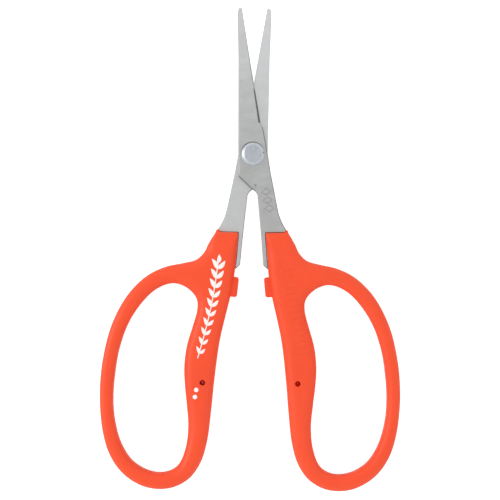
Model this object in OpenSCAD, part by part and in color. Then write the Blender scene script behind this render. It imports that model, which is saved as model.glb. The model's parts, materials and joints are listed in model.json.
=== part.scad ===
// Floral snips: two stamped steel halves on a screw pivot, with moulded finger-loop handles.
// X runs across the snips, Y along the blades towards the tips, and Z is the pivot axis.
// The origin is on the pivot axis, in the plane that the snips lie on.
// Each half is drawn as it stands when the snips are closed, with its stopper face on the
// plane x = 0, and is then turned about the pivot to the resting opening.

/* [Pose] */
// Angle that each half stands away from closed, in degrees
half_angle = 5.7; // [0:0.1:12]

/* [Blades] */
// Thickness of the steel plate
plate_t = 2.28; // [2:0.02:2.6]
// Gap between the two blades' inner faces
blade_gap = 0.04; // [0.02:0.01:0.1]
// Distance from the pivot to the tips
tip_y = 55.8; // [52:0.2:60]
// Thickness left at the tip by the taper of the outer face
tip_t = 1.2; // [0.8:0.1:1.9]
// Angle of the ground bevel at the cutting edge, from the blade's face
bevel_angle = 76; // [50:1:80]
// Width of the chamfer along the spine
spine_chamfer = 0.45; // [0.2:0.05:0.8]
// Diameter of the plastic-filled anchor hole in each hidden tang
anchor_d = 2.6; // [2:0.2:3.4]

/* [Pivot] */
// Diameter of the screw's shoulder
shoulder_d = 5; // [4:0.2:6]
// Radial clearance of the blade that turns on the shoulder
running_fit = 0.05; // [0.02:0.01:0.1]
// Diameter of the screw's flat head
head_d = 8.4; // [7.6:0.2:10]
// Thickness of the head
head_t = 1.6; // [1:0.1:1.8]
// Height of the wide chamfer round the head
head_chamfer = 0.5; // [0.2:0.1:0.7]
// Diameter of the flat inside that chamfer
head_flat_d = 6.5; // [5:0.1:7]
// Diameter of the thin washer under the head
washer_d = 8.8; // [8.4:0.2:10.6]
// Thickness of that washer
washer_t = 0.36; // [0.2:0.02:0.4]
// Diameter of the threaded end
thread_d = 4; // [3:0.2:4.4]
// Width of the nut across its flats
nut_flats = 8; // [7:0.2:9]
// Thickness of the nut
nut_t = 1.8; // [1.4:0.1:1.9]
// Outer diameter of the spring washer
spring_washer_d = 7.6; // [6.6:0.2:8]

/* [Handles] */
// Depth of the handles, from their back to their front
handle_depth = 9.2; // [8.8:0.2:10]
// Sideways reach of the rounding along the handles' rims
rim_round = 2; // [1:0.1:2.2]
// Height of that rounding
rim_rise = 2.6; // [1.6:0.2:3]
// Diameter of the blind mould-pin hole in each grip
pin_d = 2.1; // [1.6:0.1:2.6]
// Depth of that hole in the right grip, which ends in the plastic
pin_depth = 1.8; // [1:0.1:2]

/* [Stoppers] */
// Length of each stopper along the handle
stopper_l = 7.5; // [5:0.1:8]
// Height of each stopper
stopper_h = 5.4; // [4:0.2:6]
// Chamfer at the stopper's two outer corners
stopper_chamfer = 0.5; // [0.1:0.1:1]
// Depth of the stopper's tongue, from the plane where the two stoppers meet
stopper_reach = 4; // [3.4:0.1:4.2]
// Clearance left on each side of the plane where the two stoppers meet
stopper_gap = 0.03; // [0.02:0.01:0.1]

/* [Hidden] */
$fn = 64;
eps = 0.01;
// How far a cutting shape runs past the surface that it opens
past = 1;
// Size of the blocks that cut the blade's sloping faces
big = 80;
mid_z = handle_depth / 2;
plate_z = mid_z + blade_gap / 2;
plate_top = plate_z + plate_t;
plate_back = mid_z - blade_gap / 2 - plate_t;
washer_z = plate_top + blade_gap;
head_z = washer_z + washer_t;
lip_drop = 0.2;
thread_chamfer = 0.3;
nut_corner_drop = 0.35;
nut_corner_d = nut_flats / cos(30);
edge_root = [3.6, 12.5];
edge_tip = [0.85, tip_y - 1.4];
taper_y = edge_root.y;
taper_angle = atan((plate_t - tip_t) / (tip_y - taper_y));
stopper_top_y = -47.1;
neck_y = -31;
neck_blend = 7;
pin_at = [9.3, -88];
anchor_at = [10, -74];

// The visible steel, clockwise from the tip: cutting edge, step, root and tang
steel_outline = [
    [0.45, tip_y], [0.75, tip_y - 0.35], edge_tip, edge_root, [3.8, 11.4], [4.7, 9], [5.1, 4.5], [5.5, 0.5],
    [6.1, -8], [6.8, -14.4], [7.4, -20.2], [7.6, -22.2], [7.9, -24.1], [8.4, -25.9],
    [9.1, -27.8], [10, -29.6]
];
// The hidden tang, down inside the handle and back up along its inner edge
tang_outline = [
    [10, -34], [10.4, -42], [12, -52], [13.2, -66], [13.4, -90], [12.6, -92.8],
    [10.4, -94], [8.2, -92.8], [7.2, -90], [6.9, -70], [5.6, -56], [4.9, -47],
    [4.4, -45.2], [1.6, -43.9], [0.2, -42.3]
];
// The spine, from the heel to the blade's point
spine_guides = [[-6.1, -7], [-5.5, 1.5], [-3.7, 21.3], [-2.3, 37], [-1.35, tip_y - 4.3],
    [-0.95, tip_y - 1.4]];
// The tang's bare inner edge, the diagonal heel, the spine and the rounded tip
spine_outline = concat(
    [[0.35, -34], [0.35, -15.6], [-0.2, -14.3], [-1.8, -12.8], [-6, -8.1]], spine_guides,
    [[-0.7, tip_y - 0.55], [-0.3, tip_y - 0.1], [0, tip_y]]
);

// Guide points of the handle's rim, clockwise from the outer corner of the neck
rim_guides = [
    [10.9, -31.3], [11.7, -32.8], [13, -35.7], [14.2, -39], [17, -42.2], [22, -44.1],
    [28.1, -46.1], [34.2, -49.8], [39.5, -55.6], [43.4, -62.6], [46.2, -71], [47.6, -80],
    [48, -89], [47.3, -99], [45.1, -110], [41.3, -119.2], [35.1, -126.1], [26.6, -129.9],
    [17.7, -129.5], [10.7, -125.3], [6.7, -118.5], [5.1, -110], [4.9, -99], [5, -87],
    [4.7, -73], [3.6, -63], [2.6, -55.5], [2, -48], [1.9, -40], [2.1, -31.5]
];
// The straight top of the neck, and the lip that stands up at its outer corner
neck_top = [[2.3, -30.1], [10.7, -30.85]];
lip_outline = [[9.2, -31.8], [9.4, -29.6], [10.6, -30], [10.65, -31.8]];
// Guide points of the finger hole, clockwise from its outermost point
hole_guides = [
    [42.8, -89], [42.5, -97.5], [41.1, -105.5], [38, -113.8], [33, -120.4], [26.5, -123.7],
    [20, -123.8], [15, -120.4], [12.9, -113], [12.9, -105], [14.3, -97.3], [15.8, -90.3],
    [16.9, -83], [16.8, -75], [15.4, -67.3], [14.4, -61], [15.3, -56.5], [19.5, -53],
    [25, -52.1], [31, -55.2], [35.9, -61.1], [39.9, -69.2], [42.2, -79]
];

function curve(a, b, c, d, t) =
    (2 * b + (c - a) * t + (2 * a - 5 * b + 4 * c - d) * t ^ 2
    + (3 * b - a - 3 * c + d) * t ^ 3) / 2;
function at(list, i) = list[(i + len(list)) % len(list)];
function clamp_at(list, i) = list[max(0, min(len(list) - 1, i))];
function smooth_ring(p, steps) = [for (i = [0 : len(p) - 1], k = [0 : steps - 1])
    curve(at(p, i - 1), p[i], at(p, i + 1), at(p, i + 2), k / steps)];
function smooth_path(p, steps) = [for (i = [0 : len(p) - 2], k = [0 : steps - 1])
    curve(clamp_at(p, i - 1), p[i], p[i + 1], clamp_at(p, i + 2), k / steps)];
// Unit vector to the right of a ring's direction at point i
function side_at(p, i) = let (d = at(p, i + 1) - at(p, i - 1)) [d.y, -d.x] / norm(d);
// Share of the rim's rounding at a point: the neck's top keeps crisp edges
function round_share(point) = max(0.15, min(1, (neck_y - point.y) / neck_blend));
function shifted(p, s) = [for (i = [0 : len(p) - 1]) p[i] + s * round_share(p[i]) * side_at(p, i)];

rim = concat(smooth_path(rim_guides, 3), [rim_guides[len(rim_guides) - 1]], neck_top);
hole = smooth_ring(hole_guides, 3);
// Heights and insets of the quarter-round along the rim, from the flat face to the side
rim_levels = [for (a = [0 : 30 : 90]) [rim_rise * (1 - cos(a)), rim_round * (1 - sin(a))]];
shell_levels = concat([for (l = rim_levels) l],
    [for (i = [len(rim_levels) - 1 : -1 : 0]) [handle_depth - rim_levels[i][0], rim_levels[i][1]]]);
hole_levels = concat([[-past, -rim_round]], [for (l = shell_levels) [l[0], -l[1]]],
    [[handle_depth + past, -rim_round]]);

// Solid between stacked copies of a clockwise ring, each at its own height and inset
module stack(ring, levels) {
    n = len(ring);
    top = (len(levels) - 1) * n;
    points = [for (l = levels, p = shifted(ring, l[1])) [p.x, p.y, l[0]]];
    sides = [for (j = [0 : len(levels) - 2], i = [0 : n - 1])
        [j * n + i, j * n + (i + 1) % n, (j + 1) * n + (i + 1) % n, (j + 1) * n + i]];
    floor_face = [[for (i = [n - 1 : -1 : 0]) i]];
    roof_face = [[for (i = [0 : n - 1]) top + i]];
    polyhedron(points, concat(floor_face, sides, roof_face));
}

// Places of the two halves
module front_half() {
    rotate([0, 0, half_angle]) children();
}

module rear_half() {
    rotate([0, 0, -half_angle]) translate([0, 0, handle_depth]) rotate([0, 180, 0]) children();
}

module steel_profile() {
    translate([0, 0, plate_z]) linear_extrude(plate_t)
        polygon(concat(steel_outline, tang_outline, spine_outline));
}

// Cuts away what lies to the right of the line from a to b, above a plane that falls rightwards
module edge_cut(a, b, z, rise_angle) {
    direction = atan2(b.y - a.y, b.x - a.x);
    translate([a.x, a.y, z]) rotate([0, 0, direction]) rotate([rise_angle, 0, 0])
        translate([-big / 4, -big / 2, 0]) cube([norm(b - a) + big / 2, big, big / 8]);
}

// Tips its children back about the line where the outer face starts to taper
module tapered() {
    translate([0, taper_y, plate_top]) rotate([-taper_angle, 0, 0])
        translate([0, -taper_y, -plate_top]) children();
}

// Chamfer of one stretch of the spine, parallel to the outer face on both sides of taper_y
module spine_cut(low, high) {
    if (low.y < taper_y) intersection() {
        edge_cut(high, low, plate_top - spine_chamfer, 45);
        translate([-big / 2, low.y, 0]) cube([big, min(high.y, taper_y) - low.y, handle_depth]);
    }
    if (high.y > taper_y) intersection() {
        tapered() edge_cut(high, low, plate_top - spine_chamfer, 45);
        translate([-big / 2, max(low.y, taper_y), 0])
            cube([big, high.y - max(low.y, taper_y), handle_depth]);
    }
}

module blade(bore_d) {
    difference() {
        steel_profile();
        tapered() translate([-big / 2, taper_y, plate_top]) cube([big, big, plate_t]);
        intersection() {
            edge_cut(edge_root, edge_tip, plate_z + eps, bevel_angle);
            translate([-big / 2, taper_y - 1, 0]) cube([big, big, handle_depth]);
        }
        for (i = [0 : len(spine_guides) - 2])
            spine_cut(spine_guides[i], spine_guides[i + 1]);
        translate([0, 0, plate_z - past]) cylinder(d = bore_d, h = plate_t + 2 * past);
        anchor();
    }
}

// The hole near the tang's end, as the shape that cuts it
module anchor() {
    translate([anchor_at.x, anchor_at.y, plate_z - past])
        cylinder(d = anchor_d, h = plate_t + 2 * past);
}

// Steel that the plastic is moulded round, with its anchor hole left for the plastic to fill
module tang_space() {
    difference() {
        steel_profile();
        anchor();
    }
}

// Lip at the neck's outer corner, beside the steel and less deep than the two steel plates
module neck_lip() {
    translate([0, 0, plate_back + lip_drop])
        linear_extrude(plate_top - plate_back - 2 * lip_drop) polygon(lip_outline);
}

module stopper_block() {
    c = stopper_chamfer;
    y0 = stopper_top_y - stopper_l;
    y1 = stopper_top_y;
    translate([0, 0, mid_z - stopper_h / 2]) linear_extrude(stopper_h)
        polygon([[stopper_gap, y0 + c], [stopper_gap + c, y0], [stopper_reach, y0],
            [stopper_reach, y1], [stopper_gap + c, y1], [stopper_gap, y1 - c]]);
}

module handle(pin_from, pin_to) {
    difference() {
        union() {
            stack(rim, shell_levels);
            neck_lip();
        }
        stack(hole, hole_levels);
        tang_space();
        stopper_block();
        translate([pin_at.x, pin_at.y, pin_from]) cylinder(d = pin_d, h = pin_to - pin_from);
    }
}

module front_blade() {
    color("#b8bab9") front_half() blade(shoulder_d + 2 * running_fit);
}

module rear_blade() {
    color("#c9cccd") rear_half() blade(shoulder_d);
}

module pivot_screw() {
    color("#abb4ba") rotate_extrude() polygon([
        [0, 0], [thread_d / 2 - thread_chamfer, 0], [thread_d / 2, thread_chamfer],
        [thread_d / 2, plate_back], [shoulder_d / 2, plate_back], [shoulder_d / 2, head_z],
        [head_d / 2, head_z], [head_d / 2, head_z + head_t - head_chamfer],
        [head_flat_d / 2, head_z + head_t], [0, head_z + head_t]]);
}

module ring(outer_d, inner_d, z0, z1) {
    translate([0, 0, z0]) difference() {
        cylinder(d = outer_d, h = z1 - z0);
        translate([0, 0, -past]) cylinder(d = inner_d, h = z1 - z0 + 2 * past);
    }
}

module pivot_washer() {
    color("#9fa6aa") ring(washer_d, shoulder_d, washer_z, head_z);
}

module spring_washer() {
    color("#8f9498") ring(spring_washer_d, thread_d, nut_t, plate_back);
}

module pivot_nut() {
    color("#a4abb0") difference() {
        intersection() {
            cylinder(d = nut_corner_d, h = nut_t, $fn = 6);
            rotate_extrude() polygon([[0, 0], [nut_flats / 2, 0],
                [nut_corner_d / 2, nut_corner_drop], [nut_corner_d / 2, nut_t], [0, nut_t]]);
        }
        translate([0, 0, -past]) cylinder(d = thread_d, h = nut_t + 2 * past);
    }
}

module right_handle() {
    color("#f2562f") front_half() handle(handle_depth - pin_depth, handle_depth + past);
}

module left_handle() {
    color("#f2562f") rear_half() handle(-past, plate_z + eps);
}

module right_stopper() {
    color("#ec4e30") front_half() stopper_block();
}

module left_stopper() {
    color("#ec4e30") rear_half() stopper_block();
}

front_blade();
rear_blade();
pivot_screw();
pivot_washer();
spring_washer();
pivot_nut();
right_handle();
left_handle();
right_stopper();
left_stopper();
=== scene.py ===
"""Floral snips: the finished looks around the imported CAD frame.

The handles are built as smooth moulded solids from the same guide points as the CAD
handles. The steel pieces are copies of the CAD solids with rounded edges and details.
Lengths in this file are millimetres until they reach Blender, which is in metres.
"""
import json
import math

import bmesh
import bpy
import numpy as np
from mathutils import Matrix, Vector


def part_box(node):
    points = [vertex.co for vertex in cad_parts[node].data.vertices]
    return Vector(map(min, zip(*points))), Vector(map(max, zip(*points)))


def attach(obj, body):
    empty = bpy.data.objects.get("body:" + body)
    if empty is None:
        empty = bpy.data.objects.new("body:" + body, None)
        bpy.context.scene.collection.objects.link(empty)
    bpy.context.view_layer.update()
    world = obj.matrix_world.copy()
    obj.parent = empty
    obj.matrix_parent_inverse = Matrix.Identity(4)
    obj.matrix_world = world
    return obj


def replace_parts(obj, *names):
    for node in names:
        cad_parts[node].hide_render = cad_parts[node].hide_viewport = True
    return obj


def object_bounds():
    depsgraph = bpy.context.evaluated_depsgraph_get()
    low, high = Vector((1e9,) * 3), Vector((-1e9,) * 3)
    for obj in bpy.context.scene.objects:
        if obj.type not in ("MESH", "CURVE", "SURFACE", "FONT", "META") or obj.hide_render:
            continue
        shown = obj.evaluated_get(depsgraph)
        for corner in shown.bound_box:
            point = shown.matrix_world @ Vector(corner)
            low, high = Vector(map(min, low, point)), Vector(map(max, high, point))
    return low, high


MM = 0.001
# Points closer than this, in metres, are one point
SAME_POINT = 1e-6

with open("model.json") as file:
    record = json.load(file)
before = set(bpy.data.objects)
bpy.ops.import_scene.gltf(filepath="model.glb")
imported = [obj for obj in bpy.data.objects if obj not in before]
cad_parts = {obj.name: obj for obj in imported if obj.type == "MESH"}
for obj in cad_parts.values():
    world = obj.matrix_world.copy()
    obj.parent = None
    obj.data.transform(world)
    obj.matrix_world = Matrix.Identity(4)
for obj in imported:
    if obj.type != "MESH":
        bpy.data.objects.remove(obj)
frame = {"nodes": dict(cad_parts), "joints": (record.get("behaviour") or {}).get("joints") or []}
cad_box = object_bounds()

# ---------------------------------------------------------------------------
# Places, from the frame
# ---------------------------------------------------------------------------
pivot = frame["joints"][0]
half_angle = math.radians(-pivot["range_deg"][0] / 2)
mid_z = pivot["pos_m"][2] / MM
handle_half_depth = (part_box("right_handle")[1].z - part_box("right_handle")[0].z) / MM / 2
steel_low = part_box("front_blade")[0].z / MM - mid_z
steel_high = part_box("front_blade")[1].z / MM - mid_z
head_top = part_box("pivot_screw")[1].z / MM

# From a half's own place, closed and with the blades' meeting plane at z = 0, to the row frame
LIFT = Matrix.Translation((0, 0, mid_z * MM))
TO_FRONT = Matrix.Rotation(half_angle, 4, "Z") @ LIFT
TO_REAR = Matrix.Rotation(-half_angle, 4, "Z") @ LIFT @ Matrix.Rotation(math.pi, 4, "Y")
HALVES = {"front_half": TO_FRONT, "rear_half": TO_REAR}


def half_box(node, place):
    """Lowest and highest corner of a CAD node in its half's own place, in millimetres."""
    back = place.inverted()
    co = np.array([back @ v.co for v in frame["nodes"][node].data.vertices]) / MM
    return co.min(0), co.max(0)


# ---------------------------------------------------------------------------
# Outlines of the handle, closed, in millimetres
# ---------------------------------------------------------------------------
RIM_GUIDES = [
    (10.9, -31.3), (11.7, -32.8), (13, -35.7), (14.2, -39), (17, -42.2), (22, -44.1),
    (28.1, -46.1), (34.2, -49.8), (39.5, -55.6), (43.4, -62.6), (46.2, -71), (47.6, -80),
    (48, -89), (47.3, -99), (45.1, -110), (41.3, -119.2), (35.1, -126.1), (26.6, -129.9),
    (17.7, -129.5), (10.7, -125.3), (6.7, -118.5), (5.1, -110), (4.9, -99), (5, -87),
    (4.7, -73), (3.6, -63), (2.6, -55.5), (2, -48), (1.9, -40), (2.1, -31.5),
]
NECK_LINE = [(2.3, -30.1), (9.2, -30.7)]
NECK_TOP = NECK_LINE + [(9.4, -29.6), (10.6, -30)]
HOLE_GUIDES = [
    (42.8, -89), (42.5, -97.5), (41.1, -105.5), (38, -113.8), (33, -120.4), (26.5, -123.7),
    (20, -123.8), (15, -120.4), (12.9, -113), (12.9, -105), (14.3, -97.3), (15.8, -90.3),
    (16.9, -83), (16.8, -75), (15.4, -67.3), (14.4, -61), (15.3, -56.5), (19.5, -53),
    (25, -52.1), (31, -55.2), (35.9, -61.1), (39.9, -69.2), (42.2, -79),
]
NECK_Y = -31
NECK_BLEND = 7
PIN_AT = (9.3, -88)
PIN_RADIUS = 1.05
RIGHT_PIN_DEPTH = 1.8


def smooth_curve(guides, closed, steps=10):
    """Points along a Catmull-Rom curve through the guides."""
    g = np.array(guides, float)
    n = len(g)
    last = n if closed else n - 1
    pick = (lambda i: g[i % n]) if closed else (lambda i: g[min(max(i, 0), n - 1)])
    out = []
    for i in range(last):
        a, b, c, d = pick(i - 1), pick(i), pick(i + 1), pick(i + 2)
        for t in np.arange(steps) / steps:
            out.append((2 * b + (c - a) * t + (2 * a - 5 * b + 4 * c - d) * t ** 2
                        + (3 * b - a - 3 * c + d) * t ** 3) / 2)
    if not closed:
        out.append(g[-1])
    return np.array(out)


def ring_segments(ring):
    """Starts and ends of the segments round a closed ring of points."""
    return ring, np.roll(ring, -1, axis=0)


LEVEL = 1e-3


def plane_segments(node, place, z):
    """Ends of the edges that bound a CAD node's flat face at height z of its half's place."""
    bm = bmesh.new()
    bm.from_mesh(frame["nodes"][node].data)
    bmesh.ops.remove_doubles(bm, verts=bm.verts, dist=SAME_POINT)
    bm.transform(place.inverted())
    level = lambda part: all(abs(v.co.z / MM - z) < LEVEL for v in part.verts)
    ends = [[v.co.to_2d() / MM for v in e.verts] for e in bm.edges
            if len(e.link_faces) == 2 and level(e)
            and level(e.link_faces[0]) != level(e.link_faces[1])]
    bm.free()
    ends = np.array(ends)
    return ends[:, 0], ends[:, 1]


def signed_distance(x, y, segments):
    """Distance from each point to the outline that the segments make, negative inside it."""
    best = np.full(x.shape, 1e9)
    inside = np.zeros(x.shape, bool)
    for (ax, ay), (bx, by) in zip(*segments):
        dx, dy = bx - ax, by - ay
        along = np.clip(((x - ax) * dx + (y - ay) * dy) / max(dx * dx + dy * dy, 1e-12), 0, 1)
        best = np.minimum(best, (x - ax - along * dx) ** 2 + (y - ay - along * dy) ** 2)
        if ay != by:
            inside ^= ((ay > y) != (by > y)) & (x < dx * (y - ay) / dy + ax)
    return np.where(inside, -1, 1) * np.sqrt(best)


# ---------------------------------------------------------------------------
# Moulded handle: an implicit solid on a grid
# ---------------------------------------------------------------------------
GRID = 0.4
MARGIN = 1.63
# Half width of the plastic at each place: cells that it is spread and then blurred over
SPREAD_CELLS = 8
BLUR_CELLS = 4
# Rounding of the rim, and its smallest and largest reach from the edge
ROUND_SHARE = 0.94
LEAST_ROUND = 2.1
FULL_ROUND = 3.8
# Share of the half height that the rounded part rises through
RISE_SHARE = 0.62
# Blend where the rim and the hole are equally near, less of it in thin stretches
BLEND = 1.2
BLEND_FROM = 1.5
BLEND_SPAN = 3
LEAST_BLEND = 0.3
SOFT_FLOOR = 0.5
# The loops are lower than the grips by this much where their half width is small
THIN_DROP = 0.7
THICK_FROM = 4.6
THICK_SPAN = 2
FACE_DROP = 0.1
# The neck's end is crisp
LEAST_CRISP = 0.15
SLOT_INSET = 0.4
LIP_HALF_DEPTH = steel_high


def spread_max(field, cells):
    """Largest value within a square neighbourhood."""
    for axis in (0, 1):
        out = field.copy()
        for s in range(1, cells + 1):
            out = np.maximum(out, np.maximum(np.roll(field, s, axis), np.roll(field, -s, axis)))
        field = out
    return field


def blurred(field, cells, passes=3):
    """Mean over a square neighbourhood, taken several times."""
    for _ in range(passes):
        for axis in (0, 1):
            shifted = [np.roll(field, s, axis) for s in range(-cells, cells + 1)]
            field = sum(shifted) / (2 * cells + 1)
    return field


def smooth_step(t):
    """Goes from 0 to 1 with level ends."""
    t = np.clip(t, 0, 1)
    return t * t * (3 - 2 * t)


class HandleForm:
    """The fields over the handle's plan that its surface is made of, and its implicit function."""

    def __init__(self):
        rim = np.vstack([smooth_curve(RIM_GUIDES, False), NECK_TOP])
        hole = smooth_curve(HOLE_GUIDES, True)
        self.low = rim.min(0) - MARGIN
        self.x = np.arange(self.low[0], rim[:, 0].max() + MARGIN, GRID)
        self.y = np.arange(self.low[1], rim[:, 1].max() + MARGIN, GRID)
        x, y = np.meshgrid(self.x, self.y, indexing="ij")
        to_rim = -signed_distance(x, y, ring_segments(rim))
        to_hole = signed_distance(x, y, ring_segments(hole))
        depth = np.minimum(to_rim, to_hole)
        half_width = blurred(spread_max(depth, SPREAD_CELLS), BLUR_CELLS)
        crisp = np.clip((NECK_Y - y) / NECK_BLEND, LEAST_CRISP, 1)
        blend = BLEND * np.clip((half_width - BLEND_FROM) / BLEND_SPAN, LEAST_BLEND, 1)
        gap = np.clip(0.5 + 0.5 * (to_hole - to_rim) / blend, 0, 1)
        soft = to_hole * (1 - gap) + to_rim * gap - blend * gap * (1 - gap)
        self.fields = {
            "depth": np.where(depth > 0, np.maximum(soft, SOFT_FLOOR * depth), depth),
            "reach": np.clip(ROUND_SHARE * half_width, LEAST_ROUND, FULL_ROUND) * crisp,
            "height": (handle_half_depth - FACE_DROP
                       - THIN_DROP * smooth_step((THICK_FROM - half_width) / THICK_SPAN)),
            "steel": signed_distance(x, y, plane_segments("front_blade", TO_FRONT, steel_low)),
        }

    def sample(self, name, x, y):
        """A field's value at any place, between its grid points."""
        f = self.fields[name]
        u = np.clip((x - self.low[0]) / GRID, 0, len(self.x) - 1.001)
        v = np.clip((y - self.low[1]) / GRID, 0, len(self.y) - 1.001)
        i, j = u.astype(int), v.astype(int)
        u, v = u - i, v - j
        return ((f[i, j] * (1 - u) + f[i + 1, j] * u) * (1 - v)
                + (f[i, j + 1] * (1 - u) + f[i + 1, j + 1] * u) * v)

    def top(self, x, y):
        """Height of the surface above the middle plane."""
        height, reach = self.sample("height", x, y), self.sample("reach", x, y)
        rise = RISE_SHARE * height
        t = np.clip(1 - self.sample("depth", x, y) / reach, 0, 1)
        return height - rise + rise * np.sqrt(1 - t * t)

    def value(self, p, cuts):
        """Roughly the distance to the surface, negative in the plastic."""
        x, y, z = p
        height, reach = self.sample("height", x, y), self.sample("reach", x, y)
        rise = RISE_SHARE * height
        side = np.maximum(1 - self.sample("depth", x, y) / reach, 0)
        up = np.maximum((np.abs(z) - (height - rise)) / rise, 0)
        out = (np.sqrt(side ** 2 + up ** 2 + 1e-9) - 1) * np.minimum(reach, rise)
        slot = np.maximum(self.sample("steel", x, y) + SLOT_INSET,
                          np.abs(z - (steel_low + steel_high) / 2)
                          - (steel_high - steel_low) / 2 + SLOT_INSET)
        out = np.maximum(out, -slot)
        (x0, y0), (x1, y1) = NECK_LINE
        above_neck = y - y0 - (x - x0) * (y1 - y0) / (x1 - x0)
        out = np.maximum(out, np.minimum(above_neck, np.abs(z) - LIP_HALF_DEPTH))
        for cut in cuts:
            out = np.maximum(out, -cut(x, y, z))
        return out


def box_cut(low, high):
    """The pocket of a stopper, a little smaller than the stopper so that it has no gap."""
    middle, size = (low + high) / 2, (high - low) / 2 - SLOT_INSET
    return lambda x, y, z: np.maximum.reduce(
        [abs(v - m) - half for v, m, half in zip((x, y, z), middle, size)])


def pin_cut(z0, z1):
    """The round recess of a pin."""
    return lambda x, y, z: np.maximum(
        np.hypot(x - PIN_AT[0], y - PIN_AT[1]) - PIN_RADIUS,
        abs(z - (z0 + z1) / 2) - (z1 - z0) / 2)


def surface_net(values):
    """One vertex in each grid cell that the surface crosses, and a quad round each crossed edge."""
    cells = np.array(values.shape) - 1
    total = np.zeros((cells.prod(), 3))
    count = np.zeros(cells.prod())
    quads = []
    for axis in range(3):
        lo = np.moveaxis(np.moveaxis(values, axis, 0)[:-1], 0, axis)
        hi = np.moveaxis(np.moveaxis(values, axis, 0)[1:], 0, axis)
        at = np.argwhere((lo < 0) != (hi < 0))
        low, high = lo[tuple(at.T)], hi[tuple(at.T)]
        points = at.astype(float)
        points[:, axis] += low / (low - high)
        u, v = np.eye(3, dtype=int)[(axis + 1) % 3], np.eye(3, dtype=int)[(axis + 2) % 3]
        corners = [np.ravel_multi_index(tuple((at - s).T), cells) for s in (u + v, v, 0 * u, u)]
        for c in corners:
            np.add.at(total, c, points)
            np.add.at(count, c, 1)
        quad = np.stack(corners, 1)
        quads.append(np.where((low < 0)[:, None], quad, quad[:, ::-1]))
    used = np.flatnonzero(count)
    renumber = np.full(cells.prod(), -1)
    renumber[used] = np.arange(len(used))
    return total[used] / count[used][:, None], renumber[np.vstack(quads)]


def settle(points, value, rounds=4, h=0.02):
    """Moves points along the gradient, measured over steps of h, onto the surface."""
    for _ in range(rounds):
        f = value(points.T)
        g = np.stack([(value((points + h * e).T) - value((points - h * e).T)) / (2 * h)
                      for e in np.eye(3)], 1)
        step = f / np.maximum((g * g).sum(1), 0.05)
        points = points - np.clip(step, -0.3 * GRID, 0.3 * GRID)[:, None] * g
    return points


def new_piece(name, points, faces, material):
    """A mesh object in the scene, from points in millimetres."""
    mesh = bpy.data.meshes.new(name)
    mesh.from_pydata([tuple(p) for p in np.asarray(points) * MM], [], [tuple(f) for f in faces])
    mesh.materials.append(material)
    mesh.shade_smooth()
    piece = bpy.data.objects.new(name, mesh)
    bpy.context.scene.collection.objects.link(piece)
    return piece


def place_on(piece, body):
    """Moves a piece from its half's own place to the row frame, and ties it to the body."""
    piece.matrix_world = HALVES[body]
    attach(piece, body)
    return piece


HANDLE_CREASE = 42


def moulded_handle(name, form, cuts, material):
    """The handle's surface, in its half's own place."""
    z = np.arange(-handle_half_depth - MARGIN, handle_half_depth + MARGIN, GRID)
    x, y, zz = np.meshgrid(form.x, form.y, z, indexing="ij")
    value = lambda p: form.value(p, cuts)
    points, quads = surface_net(value((x, y, zz)))
    points = points * GRID + (form.low[0], form.low[1], z[0])
    points = settle(points, value)
    piece = new_piece(name, points, quads, material)
    piece.data.set_sharp_from_angle(angle=math.radians(HANDLE_CREASE))
    return piece


# ---------------------------------------------------------------------------
# Finished copies of CAD solids
# ---------------------------------------------------------------------------
WELD = 0.03
SAME_PLANE = 0.5
# The faces whose normals are nearer upright than this are the ground flats
FLAT_TILT = 0.95
# Edges and sides that face this way get painted shade, the others painted light
SHADED_SIDE = Vector((0.6, -0.8, 0))
# Corners, in degrees, that are rounded on plain pieces and on the blades
PLAIN_CORNER = 24
BLADE_CORNER = 80
# Edges left sharp on the blades: shorter than SHORT, or beside a face narrower than SLIVER
SHORT = 1.2
SLIVER = 0.15
EDGE_STEPS = 3


def finished_copy(name, node, place, materials, edge, smooth_angle):
    """A copy of a CAD solid in its half's own place, with whole flat faces and rounded edges.

    With three materials, the second is painted shade for the edges and sides that face right or
    down in the row frame, and the third, lighter, is painted light for those that face left or up.
    """
    bm = bmesh.new()
    bm.from_mesh(frame["nodes"][node].data)
    bmesh.ops.remove_doubles(bm, verts=bm.verts, dist=WELD * MM)
    bmesh.ops.dissolve_limit(bm, angle_limit=math.radians(SAME_PLANE), verts=bm.verts,
                             edges=bm.edges)
    plain = len(materials) == 1
    corner = PLAIN_CORNER if plain else BLADE_CORNER
    rounded = round_edges(bm, edge, math.radians(corner), 0 if plain else SHORT)
    bm.normal_update()
    # Painted shade on edges and sides facing right or down, painted light on those facing left or
    # up
    for face in bm.faces:
        if not plain and (face in rounded or abs(face.normal.z) < FLAT_TILT):
            face.material_index = 1 if face.normal.dot(SHADED_SIDE) > 0 else 2
    bm.transform(place.inverted())
    mesh = bpy.data.meshes.new(name)
    bm.to_mesh(mesh)
    bm.free()
    for material in materials:
        mesh.materials.append(material)
    if smooth_angle:
        mesh.shade_smooth()
        mesh.set_sharp_from_angle(angle=math.radians(smooth_angle))
    piece = bpy.data.objects.new(name, mesh)
    bpy.context.scene.collection.objects.link(piece)
    return piece


def round_edges(bm, edge, limit, shortest):
    """Rounds the edges sharper than the limit, but for short ones and those beside slivers."""
    chosen = [e for e in bm.edges
              if len(e.link_faces) == 2 and e.calc_face_angle() > limit
              and e.calc_length() > shortest * MM
              and min(f.calc_area() for f in e.link_faces) > SLIVER * MM * e.calc_length()]
    done = bmesh.ops.bevel(bm, geom=chosen, offset=edge * MM, offset_type="OFFSET",
                           segments=EDGE_STEPS, profile=0.5, affect="EDGES",
                           clamp_overlap=False)
    return set(done["faces"])


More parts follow.
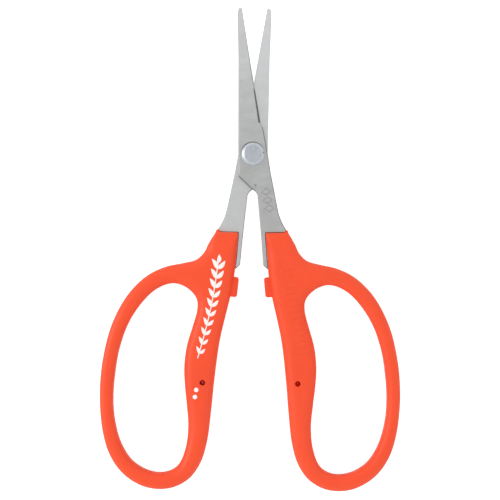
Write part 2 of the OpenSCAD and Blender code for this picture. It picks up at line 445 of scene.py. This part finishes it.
def stamp(piece, cutter):
    """Sinks the cutter's shape into the piece, and removes the cutter."""
    cut = piece.modifiers.new("stamp", "BOOLEAN")
    cut.operation = "DIFFERENCE"
    cut.solver = "EXACT"
    cut.material_mode = "TRANSFER"
    cut.object = cutter
    bpy.context.view_layer.update()
    depsgraph = bpy.context.evaluated_depsgraph_get()
    done = bpy.data.meshes.new_from_object(piece.evaluated_get(depsgraph))
    piece.modifiers.clear()
    bm = bmesh.new()
    bm.from_mesh(done)
    bmesh.ops.holes_fill(bm, edges=[e for e in bm.edges if e.is_boundary], sides=4)
    bm.to_mesh(done)
    bm.free()
    piece.data = done
    bpy.data.objects.remove(cutter)


def prism(points, z0, z1):
    """Vertices and faces of an upright solid over a convex anticlockwise outline."""
    n = len(points)
    verts = [(*p, z) for z in (z0, z1) for p in points]
    sides = [(i, (i + 1) % n, n + (i + 1) % n, n + i) for i in range(n)]
    return verts, sides + [tuple(range(n - 1, -1, -1)), tuple(range(n, 2 * n))]


def merged(solids):
    """One list of vertices and one of faces, from several."""
    verts, faces = [], []
    for v, f in solids:
        faces += [tuple(i + len(verts) for i in face) for face in f]
        verts += list(v)
    return verts, faces


def skin_patch(form, rows, side, sink, rise):
    """A thin solid that follows the handle's face, over a grid of places. side is +1 or -1."""
    rows = np.array(rows, float)
    m, n = rows.shape[:2]
    x, y = rows[..., 0].ravel(), rows[..., 1].ravel()
    surface = form.top(x, y)
    rise = np.broadcast_to(rise, (m, n)).ravel()
    low = np.stack([x, y, side * (surface - sink)], 1)
    high = np.stack([x, y, side * (surface + rise)], 1)
    cell = [(i * n + j, (i + 1) * n + j, (i + 1) * n + j + 1, i * n + j + 1)
            for i in range(m - 1) for j in range(n - 1)]
    edge = ([(0, j) for j in range(n)] + [(i, n - 1) for i in range(1, m)]
            + [(m - 1, j) for j in range(n - 2, -1, -1)] + [(i, 0) for i in range(m - 2, 0, -1)])
    edge = [i * n + j for i, j in edge]
    k = m * n
    walls = [(a, b, b + k, a + k) for a, b in zip(edge, edge[1:] + edge[:1])]
    top = [tuple(v + k for v in c) for c in cell]
    faces = top + [c[::-1] for c in cell] + [w[::-1] for w in walls]
    return np.vstack([low, high]), faces


def outward(piece):
    """Turns every face of a closed piece to face out."""
    bm = bmesh.new()
    bm.from_mesh(piece.data)
    bmesh.ops.recalc_face_normals(bm, faces=bm.faces)
    bm.to_mesh(piece.data)
    bm.free()
    return piece


LEAF_END = 0.03
LEAF_FULLNESS = 0.8
LEAF_BEND = 0.08


def leaf_rows(root, angle, length, width, rows=9, across=5):
    """Grid of places over a pointed leaf that leaves its root at an angle."""
    along = np.array([math.cos(angle), math.sin(angle)])
    aside = np.array([-along[1], along[0]])
    out = []
    for t in np.linspace(LEAF_END, 1 - LEAF_END, rows):
        half = width / 2 * math.sin(math.pi * t ** LEAF_FULLNESS)
        bend = LEAF_BEND * length * math.sin(math.pi * t)
        out.append([np.array(root) + along * length * t + aside * (bend + half * s)
                    for s in np.linspace(-1, 1, across)])
    return out


def bar_rows(a, b, width, rows=12, across=3):
    """Grid of places over a straight bar from a to b."""
    a, b = np.array(a, float), np.array(b, float)
    along = (b - a) / np.linalg.norm(b - a)
    aside = np.array([-along[1], along[0]])
    return [[a + (b - a) * t + aside * width / 2 * s for s in np.linspace(-1, 1, across)]
            for t in np.linspace(0, 1, rows)]


def disc_rows(centre, radius, rows=17, across=9):
    """Grid of places over a disc, but for a sliver at its top and its bottom."""
    out = []
    for a in np.linspace(-1, 1, rows) * math.pi / 2 * 0.97:
        half = radius * math.cos(a)
        out.append([np.array(centre) + (half * s, radius * math.sin(a))
                    for s in np.linspace(-1, 1, across)])
    return out


def bar_prism(a, b, width, z0, z1):
    """An upright solid over a straight bar from a to b."""
    near, far = bar_rows(a, b, width, 2, 2)
    return prism([tuple(p) for p in (near[0], far[0], far[1], near[1])], z0, z1)


# ---------------------------------------------------------------------------
# Materials
# ---------------------------------------------------------------------------
def material(name):
    """A new node material, its nodes and links, its shader, and object coordinates."""
    m = bpy.data.materials.new(name)
    m.use_nodes = True
    nodes, links = m.node_tree.nodes, m.node_tree.links
    shader = nodes["Principled BSDF"]
    coords = nodes.new("ShaderNodeTexCoord")
    return m, nodes, links, shader, coords.outputs["Object"]


def noise(nodes, links, coords, scale, stretch=(1, 1, 1), detail=3.0, rough=0.55):
    """Noise in object space; scale is features per metre, and stretch multiplies it by axis."""
    mapping = nodes.new("ShaderNodeMapping")
    mapping.inputs["Scale"].default_value = stretch
    links.new(coords, mapping.inputs["Vector"])
    tex = nodes.new("ShaderNodeTexNoise")
    tex.inputs["Scale"].default_value = scale
    tex.inputs["Detail"].default_value = detail
    tex.inputs["Roughness"].default_value = rough
    links.new(mapping.outputs["Vector"], tex.inputs["Vector"])
    return tex.outputs["Fac"]


def ranged(nodes, links, value, low, high, start=0.3, end=0.7):
    """Maps start to end onto low to high, and holds the value between those."""
    m = nodes.new("ShaderNodeMapRange")
    m.inputs["From Min"].default_value = start
    m.inputs["From Max"].default_value = end
    m.inputs["To Min"].default_value = low
    m.inputs["To Max"].default_value = high
    links.new(value, m.inputs["Value"])
    return m.outputs["Result"]


def mixed(nodes, links, fac, a, b):
    """A colour between a and b."""
    mix = nodes.new("ShaderNodeMix")
    mix.data_type = "RGBA"
    mix.inputs["A"].default_value = (*a, 1)
    mix.inputs["B"].default_value = (*b, 1)
    links.new(fac, mix.inputs["Factor"])
    return mix.outputs["Result"]


def bumped(nodes, links, shader, height, depth, strength=1.0):
    """depth is the relief in millimetres."""
    bump = nodes.new("ShaderNodeBump")
    bump.inputs["Distance"].default_value = depth * MM
    bump.inputs["Strength"].default_value = strength
    links.new(height, bump.inputs["Height"])
    links.new(bump.outputs["Normal"], shader.inputs["Normal"])


def added(nodes, links, a, b):
    s = nodes.new("ShaderNodeMath")
    s.operation = "ADD"
    links.new(a, s.inputs[0])
    links.new(b, s.inputs[1])
    return s.outputs[0]


def moulded_plastic(name, tone, deep, rough_low, rough_high, grain):
    """Slightly clouded plastic with a fine grain, grain being its depth."""
    m, nodes, links, shader, coords = material(name)
    cloud = noise(nodes, links, coords, 45, detail=2)
    tint = mixed(nodes, links, ranged(nodes, links, cloud, 0, 1), tone, deep)
    links.new(tint, shader.inputs["Base Color"])
    fine = noise(nodes, links, coords, 2600, detail=4, rough=0.6)
    wide = noise(nodes, links, coords, 160, stretch=(1, 0.35, 1), detail=3)
    links.new(ranged(nodes, links, wide, rough_low, rough_high), shader.inputs["Roughness"])
    bumped(nodes, links, shader, fine, grain)
    shader.inputs["IOR"].default_value = 1.5
    shader.inputs["Specular IOR Level"].default_value = 0.32
    shader.inputs["Subsurface Weight"].default_value = 0.08
    shader.inputs["Subsurface Radius"].default_value = (1.0, 0.35, 0.2)
    shader.inputs["Subsurface Scale"].default_value = 0.0012
    return m


def ground_steel(name, low_tone, high_tone, streak, rough_low, rough_high):
    """Steel ground across the blade: faint fine streaks, and lighter towards the tip."""
    m, nodes, links, shader, coords = material(name)
    shader.inputs["Metallic"].default_value = 1.0
    lines = noise(nodes, links, coords, streak, stretch=(0.04, 1, 1), detail=5, rough=0.7)
    cloud = noise(nodes, links, coords, 330, stretch=(0.6, 1, 1), detail=4)
    both = ranged(nodes, links, added(nodes, links, lines, cloud), -0.24, 0.24, 0.7, 1.3)
    split = nodes.new("ShaderNodeSeparateXYZ")
    links.new(coords, split.inputs["Vector"])
    height = ranged(nodes, links, split.outputs["Y"], 0.1, 0.9, 0, 0.05)
    tint = mixed(nodes, links, added(nodes, links, height, both), low_tone, high_tone)
    links.new(tint, shader.inputs["Base Color"])
    links.new(ranged(nodes, links, lines, rough_low, rough_high), shader.inputs["Roughness"])
    bumped(nodes, links, shader, lines, 0.0012)
    return m


def dull_steel(name, tone, deep, painted_light_tone=None, painted_light_heights=None):
    """Sheared and stamped steel, darker and rougher than the ground faces. On the plates' edges,
    along the seams and in the pin recesses, its darker tones are painted shade.

    A lighter tone, painted light, is for the end of the blade beyond the given heights.
    """
    m, nodes, links, shader, coords = material(name)
    shader.inputs["Metallic"].default_value = 1.0
    grain = noise(nodes, links, coords, 1500, stretch=(1, 1, 0.15), detail=4)
    tint = mixed(nodes, links, ranged(nodes, links, grain, 0, 1), deep, tone)
    # Painted light: a lighter tone beyond the given heights of the blade
    if painted_light_tone:
        split = nodes.new("ShaderNodeSeparateXYZ")
        links.new(coords, split.inputs["Vector"])
        start, end = (y * MM for y in painted_light_heights)
        mix = nodes.new("ShaderNodeMix")
        mix.data_type = "RGBA"
        links.new(ranged(nodes, links, split.outputs["Y"], 0, 1, start, end), mix.inputs["Factor"])
        links.new(tint, mix.inputs["A"])
        mix.inputs["B"].default_value = (*painted_light_tone, 1)
        tint = mix.outputs["Result"]
    links.new(tint, shader.inputs["Base Color"])
    links.new(ranged(nodes, links, grain, 0.4, 0.6), shader.inputs["Roughness"])
    bumped(nodes, links, shader, grain, 0.004)
    return m


def turned_steel(name, tone, deep):
    """Steel turned on a lathe: faint rings round the pivot axis."""
    m, nodes, links, shader, coords = material(name)
    shader.inputs["Metallic"].default_value = 1.0
    flat = nodes.new("ShaderNodeVectorMath")
    flat.operation = "MULTIPLY"
    flat.inputs[1].default_value = (1, 1, 0)
    links.new(coords, flat.inputs[0])
    radius = nodes.new("ShaderNodeVectorMath")
    radius.operation = "LENGTH"
    links.new(flat.outputs["Vector"], radius.inputs[0])
    rings = noise(nodes, links, radius.outputs["Value"], 6500, detail=3)
    cloud = noise(nodes, links, coords, 700, detail=3)
    both = ranged(nodes, links, added(nodes, links, rings, cloud), 0, 1, 0.8, 1.2)
    tint = mixed(nodes, links, both, deep, tone)
    links.new(tint, shader.inputs["Base Color"])
    links.new(ranged(nodes, links, cloud, 0.34, 0.48), shader.inputs["Roughness"])
    bumped(nodes, links, shader, rings, 0.002)
    return m


def ink(name, thin, full):
    """White print that is a little thin in places."""
    m, nodes, links, shader, coords = material(name)
    speckle = noise(nodes, links, coords, 1800, detail=4)
    tint = mixed(nodes, links, ranged(nodes, links, speckle, 0, 1, 0.35, 0.6), thin, full)
    links.new(tint, shader.inputs["Base Color"])
    links.new(ranged(nodes, links, speckle, 0.45, 0.6), shader.inputs["Roughness"])
    bumped(nodes, links, shader, speckle, 0.004)
    return m


def grey(tone):
    return (tone, tone, tone)


ORANGE = moulded_plastic("handle_plastic", (0.93, 0.083, 0.023), (0.89, 0.077, 0.021),
                         0.36, 0.48, 0.012)
STOPPER = moulded_plastic("stopper_plastic", (0.90, 0.070, 0.017), (0.84, 0.062, 0.015),
                          0.46, 0.6, 0.016)
FRONT_STEEL = ground_steel("front_blade_steel", (0.51, 0.52, 0.51), (0.74, 0.75, 0.75),
                           3800, 0.30, 0.42)
REAR_STEEL = ground_steel("rear_blade_steel", (0.66, 0.67, 0.67), (0.79, 0.80, 0.81),
                          3400, 0.28, 0.40)
# Painted shade on the plates' edges low down, and painted light beyond these heights, set
# for the closed pose: the front one past the crossing, and the rear one past the heel
PAINTED_EDGE_TONES = (grey(0.24), grey(0.16), grey(0.60))
FRONT_PAINTED_EDGE = dull_steel("front_edge_painted_shade_and_light", *PAINTED_EDGE_TONES, (23.5, 25.5))
REAR_PAINTED_EDGE = dull_steel("rear_edge_painted_shade_and_light", *PAINTED_EDGE_TONES, (-12, -8))
# A lighter copy of the edge steel, painted light, for edges and sides that face left or up
LIT_SIDE_STEEL = dull_steel("lit_side_painted_light", grey(0.50), grey(0.42))
STAMP_STEEL = dull_steel("stamped_steel", (0.42, 0.42, 0.41), (0.30, 0.30, 0.29))
# Painted shadow where the plates leave the plastic
SEAM_SHADE = dull_steel("seam_shade", (0.14, 0.10, 0.09), (0.09, 0.06, 0.05))
# Painted shade for the grips' pin recesses
RIGHT_RECESS_SHADE = dull_steel("right_pin_shade", (0.74, 0.07, 0.025), (0.62, 0.055, 0.02))
LEFT_RECESS_SHADE = dull_steel("left_pin_shade", (0.66, 0.20, 0.18), (0.54, 0.15, 0.13))
PIVOT_STEEL = turned_steel("pivot_steel", (0.56, 0.60, 0.64), (0.48, 0.52, 0.56))
INK = ink("print_white", (0.93, 0.80, 0.76), (0.95, 0.93, 0.91))

# ---------------------------------------------------------------------------
# Pieces
# ---------------------------------------------------------------------------
form = HandleForm()
right_block = half_box("right_stopper", TO_FRONT)
left_block = half_box("left_stopper", TO_REAR)
pin_seat = handle_half_depth - RIGHT_PIN_DEPTH
PAST = 1

right_handle = moulded_handle(
    "right_handle_moulding", form,
    [box_cut(*right_block), pin_cut(pin_seat, handle_half_depth + PAST)], ORANGE)
left_handle = moulded_handle(
    "left_handle_moulding", form,
    [box_cut(*left_block), pin_cut(-handle_half_depth - PAST, steel_low + 0.01)], ORANGE)
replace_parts(place_on(right_handle, "front_half"), "right_handle")
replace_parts(place_on(left_handle, "rear_half"), "left_handle")

FRONT_FINISH = [FRONT_STEEL, FRONT_PAINTED_EDGE, LIT_SIDE_STEEL]
REAR_FINISH = [REAR_STEEL, REAR_PAINTED_EDGE, LIT_SIDE_STEEL]
FINISHED = [
    # CAD node, kind, body, materials, slot, edge radius, smooth shading angle
    ("front_blade", "steel", "front_half", FRONT_FINISH, "blade_steel", 0.28, 0),
    ("rear_blade", "steel", "rear_half", REAR_FINISH, "blade_steel", 0.2, 0),
    ("pivot_screw", "steel", "rear_half", [PIVOT_STEEL], "pivot_steel", 0.1, 20),
    ("pivot_washer", "steel", "rear_half", [PIVOT_STEEL], "pivot_steel", 0.05, 20),
    ("spring_washer", "steel", "rear_half", [PIVOT_STEEL], "pivot_steel", 0.05, 20),
    ("pivot_nut", "steel", "rear_half", [PIVOT_STEEL], "pivot_steel", 0.06, 20),
    ("right_stopper", "block", "front_half", [STOPPER], "stopper_plastic", 0.35, 30),
    ("left_stopper", "block", "rear_half", [STOPPER], "stopper_plastic", 0.35, 30),
]
for node, kind, body, finish, slot_name, edge, smooth_angle in FINISHED:
    piece = finished_copy(f"{node}_{kind}", node, HALVES[body], finish, edge, smooth_angle)
    place_on(piece, body)
    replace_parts(piece, node)

# Three lozenges stamped in the front tang, a punched dimple, and a punch mark on the head
STAMPS = [(3.75, -14.7), (4.0, -17.9), (4.4, -21.1)]
STAMP_SIZE = (1.8, 1.3)
STAMP_HALF_LINE = 0.14
STAMP_DEPTH = 0.16
DIMPLE = (-0.1, -11.9)
DIMPLE_RADIUS = 0.45
DIMPLE_DEPTH = 0.15
HEAD_PUNCH = (4.1, 0.4)
HEAD_PUNCH_RADIUS = 0.38
# The washer sits a little low. A shallow ring sunk in the front blade round the head, in the
# dark edge tone, is a painted shadow
WASHER_PLAY = 0.18
HEAD_SHADOW = (-0.1, 0.34)
HEAD_SHADOW_RADIUS = 4.36
HEAD_SHADOW_DEPTH = 0.08


def lozenge_groove(centre, z):
    """A ring-shaped solid between two lozenges."""
    verts = [(centre[0] + (STAMP_SIZE[0] + grow) * c, centre[1] + (STAMP_SIZE[1] + grow) * s, h)
             for h in (z - STAMP_DEPTH, z + 1) for grow in (STAMP_HALF_LINE, -STAMP_HALF_LINE)
             for c, s in ((1, 0), (0, 1), (-1, 0), (0, -1))]
    faces = []
    for i in range(4):
        j = (i + 1) % 4
        faces += [(i, j, 8 + j, 8 + i), (4 + i, 12 + i, 12 + j, 4 + j),
                  (8 + i, 8 + j, 12 + j, 12 + i), (i, 4 + i, 4 + j, j)]
    return verts, faces


def cutter(solid, place, finish):
    """A temporary solid, in the material that its recess will show."""
    piece = outward(new_piece("cutter", *solid, finish))
    piece.data.shade_flat()
    piece.matrix_world = place
    return piece


def round_prism(centre, radius, z0, z1, steps=32):
    """An upright cylinder."""
    ring = [(centre[0] + radius * math.cos(a), centre[1] + radius * math.sin(a))
            for a in np.linspace(0, 2 * math.pi, steps, endpoint=False)]
    return prism(ring, z0, z1)


front_blade = bpy.data.objects["front_blade_steel"]
recesses = [lozenge_groove(place, steel_high) for place in STAMPS]
recesses.append(round_prism(DIMPLE, DIMPLE_RADIUS, steel_high - DIMPLE_DEPTH, steel_high + 1))
for recess in recesses:
    stamp(front_blade, cutter(recess, TO_FRONT, STAMP_STEEL))
# A shallow ring round the head, in the dark edge tone: painted shadow
head_shadow = round_prism(HEAD_SHADOW, HEAD_SHADOW_RADIUS, steel_high - HEAD_SHADOW_DEPTH, steel_high + 1)
stamp(front_blade, cutter(head_shadow, TO_FRONT, FRONT_PAINTED_EDGE))
punch = round_prism(HEAD_PUNCH, HEAD_PUNCH_RADIUS, head_top - mid_z - 1.2, head_top)
stamp(bpy.data.objects["pivot_screw_steel"], cutter(punch, LIFT, STAMP_STEEL))
bpy.data.objects["pivot_washer_steel"].data.transform(Matrix.Translation((0, -WASHER_PLAY * MM, 0)))

# White print on the left grip: a sprig of leaves, with two dots below it
STEM_TOP = (8.4, -41.5)
STEM_LOW = (12.1, -79)
STEM_BOW = 0.9
STEM_WIDTH = 0.42
LEAF_STEPS = 10
PRINT_RISE = 0.02
PRINT_SINK = 0.05


def stem_at(t):
    """A place on the sprig's stem, from its top at 0 to its foot at 1."""
    (x0, y0), (x1, y1) = STEM_TOP, STEM_LOW
    return np.array([x0 + (x1 - x0) * t - STEM_BOW * math.sin(math.pi * t), y0 + (y1 - y0) * t])


def sprig():
    solids = []
    steps = np.linspace(0, 1, 49)
    rows = [[stem_at(t) + (STEM_WIDTH / 2 * s, 0) for s in (-1, 0, 1)] for t in steps]
    solids.append(skin_patch(form, rows, -1, PRINT_SINK, PRINT_RISE + 0.01))
    for i in range(LEAF_STEPS):
        t = (i + 0.9) / (LEAF_STEPS + 0.4)
        size = 1 - 0.35 * t
        up = math.atan2(*(stem_at(t - 0.02) - stem_at(t + 0.02))[::-1])
        for turn in (0.62, -0.62):
            rows = leaf_rows(stem_at(t), up + turn, 4.6 * size, 1.75 * size)
            solids.append(skin_patch(form, rows, -1, PRINT_SINK, PRINT_RISE))
    rows = leaf_rows(stem_at(0.03), math.pi / 2, 3.6, 1.6)
    solids.append(skin_patch(form, rows, -1, PRINT_SINK, PRINT_RISE))
    for place in ((11.3, -90.9), (11.5, -93.6)):
        solids.append(skin_patch(form, disc_rows(place, 0.85), -1, PRINT_SINK, PRINT_RISE))
    return outward(new_piece("leaf_print", *merged(solids), INK))


place_on(sprig(), "rear_half")

# Painted shadow where each plate leaves the plastic: dark bars on the plate's front face
SEAM_SHADOW_PATH = [(10.2, -30.66), (2.18, -30.0), (2.0, -31.5), (1.8, -40), (1.85, -43.6)]
SEAM_SHADOW_WIDTH = 0.26
SEAM_SHADOW_SINK = 0.2
SEAM_SHADOW_RISE = 0.03


def seam_shadow_bars(name, z0, z1):
    """Dark flat bars where the plate leaves the plastic, a painted shadow."""
    bars = [bar_prism(a, b, SEAM_SHADOW_WIDTH, z0, z1) for a, b in zip(SEAM_SHADOW_PATH, SEAM_SHADOW_PATH[1:])]
    return outward(new_piece(name, *merged(bars), SEAM_SHADE))


place_on(seam_shadow_bars("right_seam_shadow", steel_high - SEAM_SHADOW_SINK, steel_high + SEAM_SHADOW_RISE), "front_half")
place_on(seam_shadow_bars("left_seam_shadow", steel_low - SEAM_SHADOW_RISE, steel_low + SEAM_SHADOW_SINK), "rear_half")

# Dull red discs at the foot of the grips' recesses: painted shade, tinted like the orange
# walls; the left one stands on the tang
SHADE_DISC_INSET = 0.03
SHADE_DISC_SUNK = 0.3
SHADE_DISC_PROUD = 0.1
for name, body, low_end, high_end, finish in [
        ("right_recess_shade_disc", "front_half", pin_seat - SHADE_DISC_SUNK, pin_seat + SHADE_DISC_PROUD, RIGHT_RECESS_SHADE),
        ("left_recess_shade_disc", "rear_half", -pin_seat - SHADE_DISC_PROUD, steel_low + SHADE_DISC_SUNK, LEFT_RECESS_SHADE)]:
    disc = round_prism(PIN_AT, PIN_RADIUS - SHADE_DISC_INSET, low_end, high_end)
    place_on(outward(new_piece(name, *disc, finish)), body)

# Fine ribs moulded across the right grip
RIB_FROM = (8.6, -45)
RIB_TO = (11.3, -77)
RIB_COUNT = 15
RIB_HALF = (2.3, 0.3)
RIB_WIDTH = 0.75
RIB_RISE = 0.11
RIB_SINK = 0.05
RIB_GRID = (10, 7)


def ribs():
    """Low rounded bars that follow the grip's face and fade out at their ends."""
    solids = []
    length, width = RIB_GRID
    swell = np.sin(np.linspace(0.05, math.pi - 0.05, length)) ** 0.6
    rise = np.outer(swell, np.sin(np.linspace(0, math.pi, width)))
    for t in np.linspace(0, 1, RIB_COUNT):
        mid = np.array(RIB_FROM) * (1 - t) + np.array(RIB_TO) * t
        rows = bar_rows(mid - RIB_HALF, mid + RIB_HALF, RIB_WIDTH, length, width)
        solids.append(skin_patch(form, rows, 1, RIB_SINK, RIB_RISE * rise - 0.01))
    return outward(new_piece("grip_ribs", *merged(solids), ORANGE))


grip_ribs = place_on(ribs(), "front_half")

# ---------------------------------------------------------------------------
# Floor, light and camera
# ---------------------------------------------------------------------------
# The camera looks straight down: the width that it sees at the part's middle, its lens and
# sensor, its turn in degrees, and its shift from the part's centre
FRAME_WIDTH = 190
LENS = 100
SENSOR = 36
CAMERA_ROLL = 0.7
AIM_SHIFT = (-0.66, -0.46)
SKY_TOP = 0.76
SKY_BRIGHT = 1.16
SKY_DIM = 1.06
BRIGHT_SIDE = (-0.95, -0.3, 0)
FLOOR_GLOW = 0.7
# Half the floor's side, in metres, and its gap below the part, in millimetres
FLOOR_HALF = 3.0
FLOOR_GAP = 0.2

low, high = cad_box
centre = (low + high) / 2


def add_floor():
    """A white floor just below the part, that glows only where the camera sees it."""
    mesh = bpy.data.meshes.new("floor")
    s = FLOOR_HALF
    mesh.from_pydata([(-s, -s, 0), (s, -s, 0), (s, s, 0), (-s, s, 0)], [], [(0, 1, 2, 3)])
    m, nodes, links, shader, coords = material("floor_white")
    tone = noise(nodes, links, coords, 3, detail=2)
    links.new(mixed(nodes, links, tone, grey(0.88), grey(0.90)), shader.inputs["Base Color"])
    shader.inputs["Roughness"].default_value = 0.9
    shader.inputs["Specular IOR Level"].default_value = 0.1
    seen = nodes.new("ShaderNodeLightPath").outputs["Is Camera Ray"]
    links.new(ranged(nodes, links, seen, 0, FLOOR_GLOW, 0, 1), shader.inputs["Emission Strength"])
    shader.inputs["Emission Color"].default_value = (1, 1, 1, 1)
    mesh.materials.append(m)
    floor = bpy.data.objects.new("floor", mesh)
    floor.location.z = low.z - FLOOR_GAP * MM
    bpy.context.scene.collection.objects.link(floor)


def add_light(name, place, size, power):
    """A soft rectangular lamp that faces the part, at a place in metres from its centre."""
    light = bpy.data.lights.new(name, "AREA")
    light.shape = "RECTANGLE"
    light.size, light.size_y = size
    light.energy = power
    lamp = bpy.data.objects.new(name, light)
    bpy.context.scene.collection.objects.link(lamp)
    lamp.location = centre + Vector(place)
    lamp.rotation_euler = (centre - lamp.location).to_track_quat("-Z", "Y").to_euler()


def add_camera():
    cam = bpy.data.cameras.new("camera")
    cam.lens = LENS
    cam.sensor_width = SENSOR
    camera = bpy.data.objects.new("camera", cam)
    bpy.context.scene.collection.objects.link(camera)
    distance = FRAME_WIDTH * MM * LENS / SENSOR
    camera.location = centre + Vector((AIM_SHIFT[0] * MM, AIM_SHIFT[1] * MM, distance))
    camera.rotation_euler = (0, 0, math.radians(CAMERA_ROLL))
    bpy.context.scene.camera = camera


def add_world():
    """A white tent: an even top, and brighter sides that are brightest at the lower left."""
    world = bpy.data.worlds.new("studio")
    world.use_nodes = True
    nodes, links = world.node_tree.nodes, world.node_tree.links
    coords = nodes.new("ShaderNodeTexCoord").outputs["Generated"]
    toward = nodes.new("ShaderNodeVectorMath")
    toward.operation = "DOT_PRODUCT"
    toward.inputs[1].default_value = BRIGHT_SIDE
    links.new(coords, toward.inputs[0])
    side = ranged(nodes, links, toward.outputs["Value"], SKY_DIM, SKY_BRIGHT, -0.9, 0.9)
    split = nodes.new("ShaderNodeSeparateXYZ")
    links.new(coords, split.inputs["Vector"])
    height = ranged(nodes, links, split.outputs["Z"], 0, 1, 0.45, 0.93)
    sky = nodes.new("ShaderNodeMix")
    links.new(height, sky.inputs["Factor"])
    links.new(side, sky.inputs["A"])
    sky.inputs["B"].default_value = SKY_TOP
    background = nodes["Background"]
    background.inputs["Color"].default_value = (1, 1, 1, 1)
    links.new(sky.outputs["Result"], background.inputs["Strength"])
    bpy.context.scene.world = world


add_floor()
add_world()
add_light("key", (-1.0, 0.1, 0.72), (0.35, 0.6), 3.5)
add_camera()
bpy.context.scene.view_settings.view_transform = "Standard"
